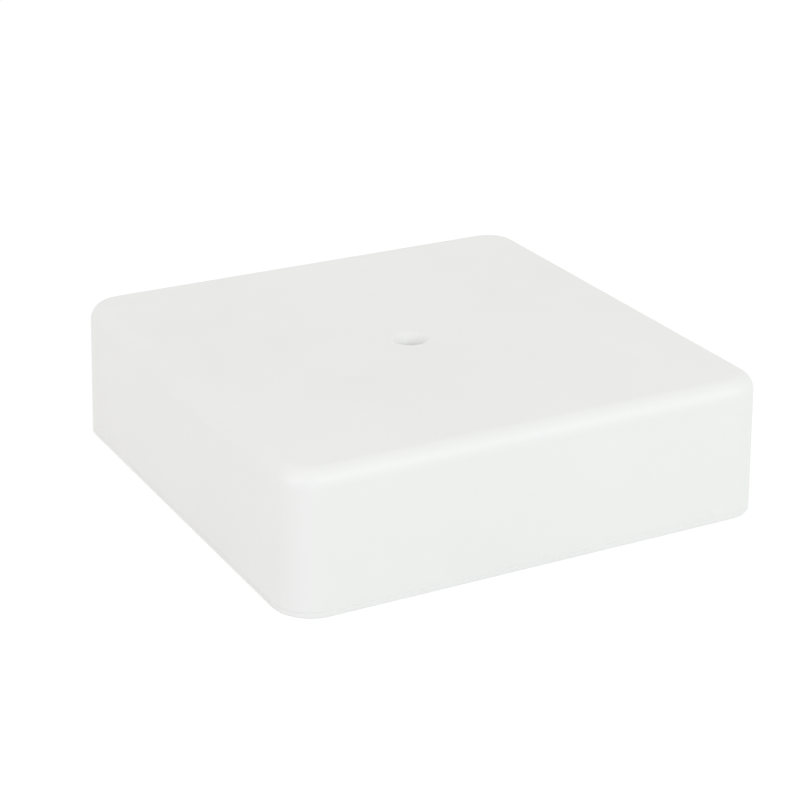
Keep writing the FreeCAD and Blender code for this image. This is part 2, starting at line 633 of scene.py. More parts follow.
@dataclass(frozen=True)
class Bar:
    """Moulded bar on a flat face, with a hollow round its foot and rounded edges.

    Attributes:
        low: its lowest X and Y.
        high: its highest X and Y.
        face_z: height of the face that carries it.
        tops: how far it stands out from the face, at its lowest and at its highest X.
        facing: which way that face looks.
        root: radius of the hollow round its foot.
        edge: radius of its far edges.
        corner: radius of its upright edges.
    """

    low: Point
    high: Point
    face_z: float
    tops: Point
    facing: Facing = Facing.UP
    root: float = 0.3
    edge: float = 0.2
    corner: float = 0.3

    def ring(self, grow: float, share: float, lift: float) -> Ring:
        """Lays a ring round the bar.

        Args:
            grow: how far it lies outside the bar's sides.
            share: share of the bar's height that it stands at.
            lift: distance from there.

        Returns:
            The ring.
        """
        left, near = (side + self.corner for side in self.low)
        right, far = (side - self.corner for side in self.high)
        slope = (self.tops[1] - self.tops[0]) / (self.high[0] - self.low[0])
        ring = []
        for number, centre in enumerate(((right, far), (left, far), (left, near), (right, near))):
            start = QUARTER * number
            for x, y in arc(centre, self.corner + grow, start, start + QUARTER, EDGE_STEPS):
                top = self.tops[0] + slope * (x - self.low[0])
                ring.append(Vector((x, y, self.face_z + self.facing.value * (share * top + lift))))
        return ring

    def build(self, name: str) -> Object:
        """Lofts the bar, sunk a little into the face that carries it.

        Args:
            name: name of the object.

        Returns:
            The object.
        """
        rings = [self.ring(self.root, 0, -SINK)]
        rings += [self.ring(grow, 0, lift) for grow, lift in hollow(0, 0, self.root)]
        rings += [self.ring(grow, 1, lift) for grow, lift in crown(0, 0, self.edge)]
        return loft(name, rings, Ends.CAPS)


# Geometry node trees for what repeats or follows a path or a rule


class ShapeTree:
    """Geometry node tree with named inputs, which ends in realized and dressed mesh."""

    def __init__(self, name: str) -> None:
        """Starts an empty tree.

        Args:
            name: name of the tree.
        """
        self.tree = bpy.data.node_groups.new(name, "GeometryNodeTree")
        self.sheet = NodeSheet(self.tree)
        for way in ("INPUT", "OUTPUT"):
            self.tree.interface.new_socket("Shape", in_out=way, socket_type="NodeSocketGeometry")
        self.start = self.sheet.add("NodeGroupInput")
        self.shape = self.start.outputs["Shape"]

    def size(self, name: str, kind: str = "NodeSocketFloat") -> NodeSocket:
        """Adds an input of that name and kind and gives its socket inside the tree."""
        self.tree.interface.new_socket(name, in_out="INPUT", socket_type=kind)
        return self.start.outputs[name]

    def step(self, kind: str, values: dict | None = None, **settings: object) -> Node:
        """Adds a node that changes the shape.

        Args:
            kind: the node's type.
            values: sockets or plain values of its inputs, by name.
            settings: properties of the node itself.

        Returns:
            The new node, with the shape passed through it.
        """
        node = self.sheet.add(kind, {0: self.shape, **(values or {})}, **settings)
        self.shape = node.outputs[0]
        return node

    def turns(self) -> None:
        """Repeats the shape round the box's axis."""
        count = self.size("Turns", "NodeSocketInt")
        self.step("GeometryNodeGeometryToInstance")
        copies = self.step("GeometryNodeDuplicateElements", {"Amount": count}, domain="INSTANCE")
        each = self.sheet.math("DIVIDE", math.tau, count)
        angle = self.sheet.math("MULTIPLY", copies.outputs["Duplicate Index"], each)
        turn = self.sheet.add("FunctionNodeAxisAngleToRotation", {"Axis": (0, 0, 1), "Angle": angle})
        self.step("GeometryNodeRotateInstances", {"Rotation": turn.outputs[0]})

    def close(self) -> "ShapeTree":
        """Ends the tree in Realize Instances and Set Material.

        Returns:
            The tree itself.
        """
        self.step("GeometryNodeRealizeInstances")
        self.step("GeometryNodeSetMaterial", {"Material": self.size("Finish", "NodeSocketMaterial")})
        self.sheet.add("NodeGroupOutput", {"Shape": self.shape})
        return self

    def run(self, obj: Object, finish: Finish, sizes: dict[str, float]) -> Object:
        """Runs the tree on an object and leaves plain mesh.

        Args:
            obj: the object that holds the shape.
            finish: what the shape is dressed in.
            sizes: values of the named inputs.

        Returns:
            The same object.
        """
        items = self.tree.interface.items_tree
        sockets = {item.name: item.identifier for item in items if item.in_out == "INPUT"}
        modifier = obj.modifiers.new(self.tree.name, "NODES")
        modifier.node_group = self.tree
        modifier[sockets["Finish"]] = finish.material()
        for name, value in sizes.items():
            modifier[sockets[name]] = value
        settle(obj)
        return obj


def repeat_tree() -> ShapeTree:
    """Makes the tree that repeats a shape round the box's axis.

    Returns:
        The tree.
    """
    tree = ShapeTree("repeat_round_axis")
    tree.turns()
    return tree.close()


def groove_tree() -> ShapeTree:
    """Makes the tree that runs a square groove along paths, and repeats it on every wall.

    Returns:
        The tree, whose shape is the paths as loose edges.
    """
    tree = ShapeTree("groove_along_paths")
    sides = {"Width": tree.size("Groove Width"), "Height": tree.size("Groove Height")}
    profile = tree.sheet.add("GeometryNodeCurvePrimitiveQuadrilateral", sides)
    tree.step("GeometryNodeMeshToCurve")
    bend = {"Radius": tree.size("Bend Radius"), "Count": BEND_STEPS}
    tree.step("GeometryNodeFilletCurve", bend, mode="POLY")
    tree.step("GeometryNodeCurveToMesh", {"Profile Curve": profile.outputs[0], "Fill Caps": True})
    tree.turns()
    return tree.close()


def corner_tree() -> ShapeTree:
    """Makes the tree that sets a shape at the four corners of a rectangle.

    Returns:
        The tree.
    """
    tree = ShapeTree("set_at_corners")
    sides = {"Size X": tree.size("Spacing X"), "Size Y": tree.size("Spacing Y")}
    corners = tree.sheet.add("GeometryNodeMeshGrid", {"Vertices X": 2, "Vertices Y": 2, **sides})
    part = tree.shape
    tree.shape = corners.outputs["Mesh"]
    tree.step("GeometryNodeInstanceOnPoints", {"Instance": part})
    return tree.close()


def thread_tree() -> ShapeTree:
    """Makes the tree that cuts a screw thread into an upright cylinder.

    Returns:
        The tree, whose shape is a cylinder of many rings about the given axis.
    """
    tree = ShapeTree("cut_thread")
    sheet = tree.sheet
    place = sheet.add("GeometryNodeInputPosition").outputs[0]
    middle = {"X": tree.size("Axis X"), "Y": tree.size("Axis Y")}
    axis = sheet.add("ShaderNodeCombineXYZ", middle).outputs[0]
    offset = sheet.add("ShaderNodeVectorMath", {0: place, 1: axis}, operation="SUBTRACT")
    x, y, z = sheet.add("ShaderNodeSeparateXYZ", {0: offset.outputs[0]}).outputs
    turn = sheet.math("DIVIDE", sheet.math("ARCTAN2", y, x), math.tau)
    rise = sheet.math("DIVIDE", z, tree.size("Pitch"))
    from_crest = sheet.math("PINGPONG", sheet.math("SUBTRACT", rise, turn), 0.5)
    flank = {"From Min": FLANK_START, "From Max": FLANK_END, "To Min": 0.0, "To Max": tree.size("Depth")}
    cut = sheet.add("ShaderNodeMapRange", {"Value": from_crest, **flank}).outputs["Result"]
    share = sheet.math("DIVIDE", cut, tree.size("Crest Radius"))
    outward = sheet.add("ShaderNodeCombineXYZ", {"X": x, "Y": y}).outputs[0]
    back = {0: outward, "Scale": sheet.math("MULTIPLY", share, -1.0)}
    inward = sheet.add("ShaderNodeVectorMath", back, operation="SCALE")
    tree.step("GeometryNodeSetPosition", {"Offset": inward.outputs[0]})
    return tree.close()


@dataclass
class Workshop:
    """The geometry node trees that the pieces share."""

    repeat: ShapeTree = field(default_factory=repeat_tree)
    groove: ShapeTree = field(default_factory=groove_tree)
    corners: ShapeTree = field(default_factory=corner_tree)
    thread: ShapeTree = field(default_factory=thread_tree)


# Pieces


@dataclass
class Piece(ABC):
    """One piece that stands for a CAD node and rides the node's body.

    Attributes:
        name: name of the node.
        body: name of the body that carries it.
        finish: what it is dressed in.
        workshop: node trees that help to build it.
    """

    name: str
    body: str
    finish: Finish
    workshop: Workshop

    @abstractmethod
    def build(self) -> Object:
        """Drafts the piece in millimetres."""

    def dress(self, obj: Object) -> None:
        """Gives a draft its shading and its finish and scales it to metres.

        Args:
            obj: the draft.
        """
        obj.data.shade_smooth()
        obj.data.set_sharp_from_angle(angle=SHARP_ANGLE)
        shading = obj.modifiers.new("even_shading", "WEIGHTED_NORMAL")
        shading.keep_sharp = True
        settle(obj)
        obj.data.materials.clear()
        obj.data.materials.append(self.finish.material())
        obj.data.transform(Matrix.Scale(MM, 4))

    def place(self) -> Object:
        """Builds and dresses the piece and puts it on its body.

        Returns:
            The finished object.
        """
        obj = self.build()
        self.dress(obj)
        obj.name = self.name + "_dressed"
        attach(obj, self.body)
        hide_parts(self.name)
        return obj


@dataclass(kw_only=True)
class Moulding(Piece):
    """Piece of plastic inside the drafted outline of the box.

    Attributes:
        walls: the outline.
        marks: distances of the mould's pin marks from the YZ and the XZ plane, on both sides of each.
        mark_radius: radius of a pin mark.
        mark_depth: depth of a pin mark.
        mark_steps: steps round a pin mark.
        grid: spacing of the points on its rings.
    """

    walls: Walls
    marks: tuple[Point, ...]
    mark_radius: float = 2.0
    mark_depth: float = 0.08
    mark_steps: int = 40
    grid: RingGrid = RingGrid()

    def rings(self, profile: Profile) -> list[Ring]:
        """Rings along the outline, one for each inset and height of a profile."""
        return [self.grid.square(self.walls.inset(inset), z) for inset, z in profile]

    def on_each_wall(self, obj: Object) -> Object:
        """Repeats a draft at every quarter turn of the box."""
        return self.workshop.repeat.run(obj, self.finish, {"Turns": QUARTERS})

    def at_corners(self, obj: Object, spacing: Point) -> Object:
        """Sets a draft at the corners of a rectangle with those sides."""
        sizes = {"Spacing X": spacing[0], "Spacing Y": spacing[1]}
        return self.workshop.corners.run(obj, self.finish, sizes)

    def pin_marks(self, face_z: float, facing: Facing) -> Iterable[Object]:
        """Makes cutters of the shallow round marks that the mould's ejector pins leave.

        Args:
            face_z: height of the marked face.
            facing: which way that face looks.

        Yields:
            One object for each pair of distances.
        """
        heights = (face_z - facing.value * self.mark_depth, face_z + facing.value * SINK)
        profile = [(self.mark_radius, z) for z in heights]
        for x, y in self.marks:
            mark = lathe("pin_mark", profile, self.mark_steps, Matrix.Identity(4))
            yield self.at_corners(mark, (2 * x, 2 * y))


@dataclass(kw_only=True)
class Cover(Moulding):
    """Deep cap with a rounded top edge, a countersunk hole and scored entries inside."""

    # Shell
    top_z: float
    top_edge_radius: float = 2.7
    top_edge_steps: int = 14
    sag: float = 0.5
    sag_rings: int = 12
    wall: float = 1.6
    roof: float = 1.8
    roof_edge_radius: float = 1.9
    roof_edge_steps: int = 8
    foot_edge: float = 0.1
    marks: tuple[Point, ...] = ((13.0, 13.0), (27.0, 27.0))

    # Boss and hole, whose countersink is wider and softer than the solid's
    hole_radius: float = 1.5
    hole_steps: int = 6
    countersink_radius: float = 2.8
    countersink_rim: float = 0.6
    throat_round: float = 3.6
    boss_radius: float = 3.8
    boss_length: float = 3.0
    boss_edge: float = 0.25

    # Ribs
    rib_thickness: float = 1.0
    rib_depth: float = 2.0
    rib_reach: float = 18.0

    # Entries that can be broken out
    entry_widths: tuple[float, ...] = (16.4, 25.4, 40.4)
    entry_heights: tuple[float, ...] = (10.2, 16.0, 16.0)
    score_width: float = 0.7
    score_web: float = 0.7
    score_bend: float = 0.6

    @property
    def roof_z(self) -> float:
        """Height of the roof's underside."""
        return self.top_z - self.roof

    def outside(self) -> Profile:
        """Runs from the foot's inner edge up to the top.

        Returns:
            Insets and heights.
        """
        foot_z = self.walls.lip_z
        wall_z = foot_z + self.foot_edge
        support = self.grid.support
        shoulder = self.walls.shoulder(0.0, self.top_z, self.top_edge_radius, self.top_edge_steps)
        profile = [(self.wall, foot_z), (self.foot_edge, foot_z)]
        for z in (wall_z, wall_z + support, shoulder[0][1] - support):
            profile.append((self.walls.lean(z), z))
        return profile + shoulder + [(shoulder[-1][0] + support, self.top_z)]

    def hole(self) -> Profile:
        """Runs down the countersunk hole and up the boss.

        Returns:
            Radii and heights.
        """
        slope = QUARTER / 2
        rim = self.countersink_rim
        rim_z = self.top_z - self.sag
        rim_centre = (self.countersink_radius + rim * math.tan(slope / 2), rim_z - rim)
        turn = self.throat_round
        throat_z = rim_z - (self.countersink_radius - self.hole_radius)
        turn_centre = (self.hole_radius + turn, throat_z - turn * math.tan(slope / 2))
        edge = self.boss_edge
        end_z = self.roof_z - self.boss_length
        profile = [(rim_centre[0] + self.grid.support, rim_z)]
        profile += arc(rim_centre, rim, QUARTER, QUARTER + slope, self.hole_steps)
        profile += arc(turn_centre, turn, QUARTER + slope, math.pi, self.hole_steps)
        profile += [(self.hole_radius, end_z + edge), (self.hole_radius + edge, end_z)]
        profile += arc((self.boss_radius - edge, end_z + edge), edge, -QUARTER, 0, EDGE_STEPS)
        profile += arc((self.boss_radius + edge, self.roof_z - edge), edge, math.pi, QUARTER, EDGE_STEPS)
        return profile

    def top(self, edge: Ring, rim: Ring) -> list[Ring]:
        """Bends the top as a plate that is held at its edges.

        Args:
            edge: ring at the edge of the top.
            rim: ring round the hole.

        Returns:
            The rings between them.
        """
        half = max(point.x for point in edge)
        rings = []
        for number in range(1, self.sag_rings):
            ring = [outer.lerp(inner, number / self.sag_rings) for outer, inner in zip(edge, rim)]
            for point in ring:
                bend = (1 - (point.x / half) ** 2) * (1 - (point.y / half) ** 2)
                point.z = self.top_z - self.sag * bend**2
            rings.append(ring)
        return rings

    def inside(self) -> Profile:
        """Runs from the roof's underside down to the foot.

        Returns:
            Insets and heights.
        """
        support = self.grid.support
        corner = self.walls.shoulder(self.wall, self.roof_z, self.roof_edge_radius, self.roof_edge_steps)
        profile = [(corner[-1][0] + support, self.roof_z), *reversed(corner)]
        for z in (corner[0][1] - support, self.walls.lip_z + support):
            profile.append((self.wall + self.walls.lean(z), z))
        return profile

    def scores(self) -> Iterable[Object]:
        """Makes cutters of the grooves round the entries of each wall.

        Yields:
            One object for each size of entry. An entry as high as a wider one shares its top groove.
        """
        foot = Matrix.Translation((0, self.wall - self.walls.half_side, self.walls.lip_z))
        lean = Matrix.Rotation(-self.walls.draft, 4, "X")
        sizes = {"Groove Width": self.score_width, "Bend Radius": self.score_bend, "Turns": QUARTERS}
        for number, (width, height) in enumerate(zip(self.entry_widths, self.entry_heights)):
            half = width / 2
            top = height - self.walls.lip_z
            shared = height in self.entry_heights[number + 1:]
            depth = self.wall - self.score_web - (SKEW if shared else 0.0)
            draft = bmesh.new()
            corners = [(-half, -self.wall), (-half, top), (half, top), (half, -self.wall)]
            path = [draft.verts.new((x, 0, z)) for x, z in corners]
            draft.edges.new(path[:2])
            draft.edges.new(path[2:])
            if not shared:
                draft.edges.new(path[1:3])
            draft.transform(foot @ lean)
            sizes["Groove Height"] = 2 * depth
            yield self.workshop.groove.run(put_draft("score", draft), self.finish, sizes)

    def ribs(self) -> Object:
        """Makes the four ribs that run out from the boss under the roof.

        Returns:
            The ribs.
        """
        half = self.rib_thickness / 2
        start = (self.hole_radius + self.boss_radius) / 2
        depths = (self.rib_depth, self.rib_depth)
        rib = Bar((start, -half), (self.rib_reach, half), self.roof_z, depths, Facing.DOWN)
        return self.on_each_wall(rib.build("ribs"))

    def build(self) -> Object:
        """Lofts the shell, adds its ribs and cuts its scores and pin marks.

        Returns:
            The draft of the cover.
        """
        rings = self.rings(self.outside())
        hole = [self.grid.circle(radius, z) for radius, z in self.hole()]
        rings += self.top(rings[-1], hole[0]) + hole + self.rings(self.inside())
        cover = loft(self.name, rings, Ends.LOOP)
        combine(cover, self.ribs(), Joining.UNION)
        for cutter in (*self.scores(), *self.pin_marks(self.roof_z, Facing.DOWN)):
            combine(cover, cutter, Joining.CUT)
        return cover


@dataclass(kw_only=True)
class Base(Moulding):
    """Flat moulding with corner rims, a screw post, webs, sockets, slots and rear knock-outs."""

    # Plate and rims
    floor_z: float
    bottom_edge: float = 0.1
    lip_edge: float = 0.1
    rim_inset: float = 1.9
    rim_thickness: float = 1.4
    rim_height: float = 5.0
    rim_lead_in: float = 0.4
    rim_gap: float = 44.4
    rim_edge: float = 0.25
    root: float = 0.3
    edge: float = 0.2
    marks: tuple[Point, ...] = ((15.0, 27.0), (28.0, 10.0))

    # Post and webs
    post_top_z: float
    post_radius: float = 3.8
    post_edge: float = 0.3
    post_steps: int = 64
    pilot_radius: float = 1.2
    pilot_depth: float = 11.0
    pilot_lead_in: float = 0.4
    web_thickness: float = 1.4
    web_height: float = 9.0
    web_end_height: float = 4.0

    # Terminal sockets
    terminal_half: float
    terminal_centre: float
    socket_clearance: float = 0.1
    socket_wall: float = 1.4
    sill_height: float = 1.4
    sill_corner: float = 0.4
    sill_grid: RingGrid = RingGrid(corner_steps=5, side_steps=1, support=0.1)
    cheek_height: float = 5.0

    # Slots for wall screws
    slot_spacing: Point
    slot_length: float
    slot_radius: float
    slot_edge: float = 0.2
    slot_steps: int = 16

    # Rear knock-outs
    rear_entries: tuple[Point, ...]
    rear_entry_radius: float = 8.0
    rear_score_width: float = 0.7
    rear_score_web: float = 0.8
    rear_score_steps: int = 72

    def plate(self) -> Object:
        """Lofts the lip and the floor, with a full rim round the floor.

        Returns:
            The plate.
        """
        lip_z = self.walls.lip_z
        lean = self.walls.lean
        root = self.root
        rim_top = self.floor_z + self.rim_height
        outer = self.rim_inset
        inner = outer + self.rim_thickness
        lead_in = self.rim_lead_in
        shoulder_z = rim_top - lead_in
        profile = [
            (self.bottom_edge, 0.0),
            (0.0, self.bottom_edge),
            (0.0, lip_z - self.lip_edge),
            (self.lip_edge, lip_z),
            (outer, lip_z),
            (outer + lean(shoulder_z), shoulder_z),
            (outer + lean(rim_top) + lead_in, rim_top),
            (inner - self.rim_edge, rim_top),
            (inner, rim_top - self.rim_edge),
        ]
        profile += arc((inner + root, self.floor_z + root), root, math.pi, 3 * QUARTER, ROOT_STEPS)
        return loft(self.name, self.rings(profile), Ends.CAPS)

    def rim_gaps(self) -> Object:
        """Makes cutters that open the rim in the middle of each wall and break its ends' edges.

        Returns:
            The cutters.
        """
        half = self.rim_gap / 2
        edge = self.rim_edge
        flare = edge + SINK
        top = self.floor_z + self.rim_height
        outer = self.rim_inset + self.walls.lean(top) / 2 - self.walls.half_side
        inner = self.rim_inset + self.rim_thickness - self.walls.half_side
        rings = []
        for grow, z in ((0.0, self.floor_z), (0.0, top - edge), (flare, top + SINK)):
            mouth = half + grow
            right = [(mouth + flare, outer - SINK), (mouth, outer + edge)]
            right += [(mouth, inner - edge), (mouth + flare, inner + SINK)]
            left = [(-x, y) for x, y in reversed(right)]
            rings.append([Vector((x, y, z)) for x, y in right + left])
        return self.on_each_wall(loft("rim_gaps", rings, Ends.CAPS))

    def post(self) -> Object:
        """Turns the screw post with its pilot hole.

        Returns:
            The post.
        """
        top = self.post_top_z
        profile = [(self.post_radius + self.root, self.floor_z - SINK)]
        profile += hollow(self.post_radius, self.floor_z, self.root)
        profile += crown(self.post_radius, top, self.post_edge)
        profile.append((self.pilot_radius + self.pilot_lead_in, top))
        profile.append((self.pilot_radius, top - self.pilot_lead_in))
        profile.append((self.pilot_radius, top - self.pilot_depth))
        return lathe("post", profile, self.post_steps, Matrix.Identity(4))

    def webs(self) -> Object:
        """Makes the four webs that part the terminals.

        Returns:
            The webs.
        """
        half = self.web_thickness / 2
        start = (self.pilot_radius + self.post_radius) / 2
        reach = self.terminal_centre + self.terminal_half
        slope = (self.web_height - self.web_end_height) / reach
        tops = (self.web_height - slope * start, self.web_end_height)
        web = Bar((start, -half), (reach, half), self.floor_z, tops, root=self.root, edge=self.edge)
        return self.on_each_wall(web.build("webs"))

    def sill(self, inner: float, outer: float) -> Object:
        """Lofts the low frame round one terminal, with a hollow round its foot.

        Args:
            inner: half of its inner side.
            outer: half of its outer side.

        Returns:
            The frame, about the box's axis.
        """
        edge = self.edge
        top = self.floor_z + self.sill_height
        sunk = self.floor_z - SINK
        profile = hollow(outer, self.floor_z, self.root) + crown(outer, top, edge)
        profile += arc((inner + edge, top - edge), edge, QUARTER, math.pi, EDGE_STEPS)
        profile += [(inner, sunk), (outer + self.root, sunk)]
        rings = []
        for half, z in profile:
            radius = max(edge, half - outer + self.sill_corner)
            rings.append(self.sill_grid.square(RoundedSquare(half, radius), z))
        return loft("sill", rings, Ends.LOOP)

    def sockets(self) -> Iterable[Object]:
        """Makes the sills and cheeks that hold the four terminals.

        Yields:
            The sills, and the cheeks of each side.
        """
        inner = self.terminal_half + self.socket_clearance
        outer = inner + self.socket_wall
        spacing = (2 * self.terminal_centre, 2 * self.terminal_centre)
        yield self.at_corners(self.sill(inner, outer), spacing)
        foot_z = self.floor_z - SINK + SKEW
        top = self.floor_z + self.cheek_height
        for side in (-1, 1):
            near, far = sorted((side * (inner + SKEW), side * (outer - SKEW)))
            cheek = slab("cheek", (-inner, near, foot_z), (inner, far, top), self.edge)
            yield self.at_corners(cheek, spacing)

    def slots(self) -> Object:
        """Makes cutters of the four slots for wall screws, flared at the floor.

        Returns:
            The cutters.
        """
        reach = self.slot_length / 2 - self.slot_radius
        flare = self.slot_edge
        rings = []
        for grow, z in ((0.0, -SINK), (0.0, self.floor_z - flare), (2 * flare, self.floor_z + flare)):
            radius = self.slot_radius + grow
            ring = []
            for side in (1, -1):
                start = -side * QUARTER
                end = arc((side * reach, 0.0), radius, start, start + math.pi, self.slot_steps)
                ring += [Vector((x, y, z)) for x, y in end]
            rings.append(ring)
        return self.at_corners(loft("slots", rings, Ends.CAPS), self.slot_spacing)

    def rear_scores(self) -> Iterable[Object]:
        """Makes cutters of the round score lines of the rear knock-outs.

        Yields:
            One object for each knock-out.
        """
        outer = self.rear_entry_radius
        inner = outer - self.rear_score_width
        low = self.rear_score_web
        high = self.floor_z + SINK
        profile = [(inner, low), (outer, low), (outer, high), (inner, high)]
        for x, y in self.rear_entries:
            axis = Matrix.Translation((x, y, 0))
            yield lathe("rear_score", profile, self.rear_score_steps, axis, Ends.LOOP)

    def build(self) -> Object:
        """Joins what stands on the plate and cuts what goes through it.

        Returns:
            The draft of the base.
        """
        base = self.plate()
        combine(base, self.rim_gaps(), Joining.CUT)
        for part in (self.webs(), self.post(), *self.sockets()):
            combine(base, part, Joining.UNION)
        for cutter in (self.slots(), *self.rear_scores(), *self.pin_marks(self.floor_z, Facing.UP)):
            combine(base, cutter, Joining.CUT)
        return base


@dataclass(kw_only=True)
class Fitting(Piece):
    """Metal piece that fills the box of its CAD node.

    Attributes:
        low: lowest corner of that box.
        high: its highest corner.
    """

    low: Vector
    high: Vector

    @property
    def middle(self) -> Vector:
        """Middle of the piece."""
        return (self.low + self.high) / 2

    @property
    def half_width(self) -> float:
        """Half of its width along X."""
        return (self.high.x - self.low.x) / 2

    def axis(self, z: float = 0.0) -> Matrix:
        """Frame of the upright axis through its middle, with the origin at height z."""
        return Matrix.Translation((self.middle.x, self.middle.y, z))


@dataclass(kw_only=True)
class Terminal(Fitting):
    """Brass pillar with a wire way across it and a tapped hole from above."""

    wire_way_radius: float
    wire_way_z: float
    wire_way_steps: int = 56
    tapped_radius: float = 1.8
    tapped_steps: int = 48
    mouth: float = 0.25
    edge: float = 0.5

    def build(self) -> Object:
        """Breaks the block's edges and bores its two holes.

        Returns:
            The draft of the terminal.
        """
        way = self.wire_way_radius
        tapped = self.tapped_radius
        mouth = self.mouth
        half = self.half_width
        top = self.high.z
        pillar = slab(self.name, self.low, self.high, self.edge)
        bore = [(way + 2 * mouth, -half - mouth), (way, mouth - half)]
        bore += [(radius, -z) for radius, z in reversed(bore)]
        across = self.axis(self.wire_way_z) @ Matrix.Rotation(QUARTER, 4, "Y")
        combine(pillar, lathe("wire_way", bore, self.wire_way_steps, across), Joining.CUT)
        hole = [(tapped, self.wire_way_z), (tapped, top - mouth), (tapped + 2 * mouth, top + mouth)]
        combine(pillar, lathe("tapped_hole", hole, self.tapped_steps, self.axis()), Joining.CUT)
        return pillar


@dataclass(kw_only=True)
class ClampScrew(Fitting):
    """Slotted cheese-head screw with a cut thread."""

    head_height: float = 1.6
    head_edge: float = 0.5
    head_edge_steps: int = 6
    head_steps: int = 64
    under_edge: float = 0.1
    slot_width: float = 0.8
    slot_depth: float = 0.8
    shank_radius: float = 1.75
    shank_steps: int = 48
    shank_sink: float = 0.4
    pitch: float = 0.6
    thread_depth: float = 0.33
    tip_chamfer: float = 0.35
    rings_per_turn: int = 12

    def shank(self) -> Object:
        """Turns the shank, a little way up into the head, and cuts its thread.

        Returns:
            The shank.
        """
        start_z = self.low.z + self.tip_chamfer
        end_z = self.high.z - self.head_height + self.shank_sink
        count = math.ceil((end_z - start_z) / self.pitch * self.rings_per_turn)
        profile = [(self.shank_radius - self.tip_chamfer, self.low.z)]
        for number in range(count + 1):
            profile.append((self.shank_radius, start_z + (end_z - start_z) * number / count))
        sizes = {
            "Pitch": self.pitch,
            "Crest Radius": self.shank_radius,
            "Depth": self.thread_depth,
            "Axis X": self.middle.x,
            "Axis Y": self.middle.y,
        }
        shank = lathe("shank", profile, self.shank_steps, self.axis())
        return self.workshop.thread.run(shank, self.finish, sizes)

    def build(self) -> Object:
        """Turns the head, cuts its slot and joins the shank to it.

        Returns:
            The draft of the screw.
        """
        middle = self.middle
        radius = self.half_width
        top = self.high.z
        under = top - self.head_height
        profile = [(radius - self.under_edge, under), (radius, under + self.under_edge)]
        profile += crown(radius, top, self.head_edge, self.head_edge_steps)
        head = lathe(self.name, profile, self.head_steps, self.axis())
        half = self.slot_width / 2
        slot_low = (middle.x - 2 * radius, middle.y - half, top - self.slot_depth)
        slot_high = (middle.x + 2 * radius, middle.y + half, top + self.head_edge)
        combine(head, slab("driver_slot", slot_low, slot_high), Joining.CUT)
        combine(head, self.shank(), Joining.UNION)
        return head


# Studio


@dataclass(frozen=True)
class SoftBox:
    """Area light that points at the box.

    Attributes:
        name: name of the light.
        towards: direction from the box to the light.
        width: its level side, in metres.
        height: its other side, in metres.
        distance: how far it stands from the box, in metres.
        power: its power in watts.
        colour: its colour.
    """

    name: str
    towards: Triple
    width: float
    height: float
    distance: float
    power: float
    colour: Triple

    def place(self, target: Vector) -> None:
        """Hangs the light so that it faces the target.

        Args:
            target: the point that it is turned to.
        """
        data = bpy.data.lights.new(self.name, "AREA")
        data.shape = "RECTANGLE"
        data.size = self.width
        data.size_y = self.height
        data.energy = self.power
        data.color = self.colour
        light = put(self.name, data)
        back = Vector(self.towards).normalized()
        light.location = target + back * self.distance
        light.rotation_euler = back.to_track_quat("Z", "Y").to_euler()
        light.visible_camera = False


KEY_LIGHT = SoftBox(
    name="key_light",
    towards=(0.32, -1.0, 0.62),
    width=0.8,
    height=0.5,
    distance=0.9,
    power=1.77,
    colour=(0.83, 0.935, 1.0),
)
LEFT_LIGHT = SoftBox(
    name="left_light",
    towards=(-1.0, -0.25, 0.35),
    width=0.7,
    height=0.5,
    distance=0.9,
    power=1.14,
    colour=(0.85, 0.85, 1.0),
)


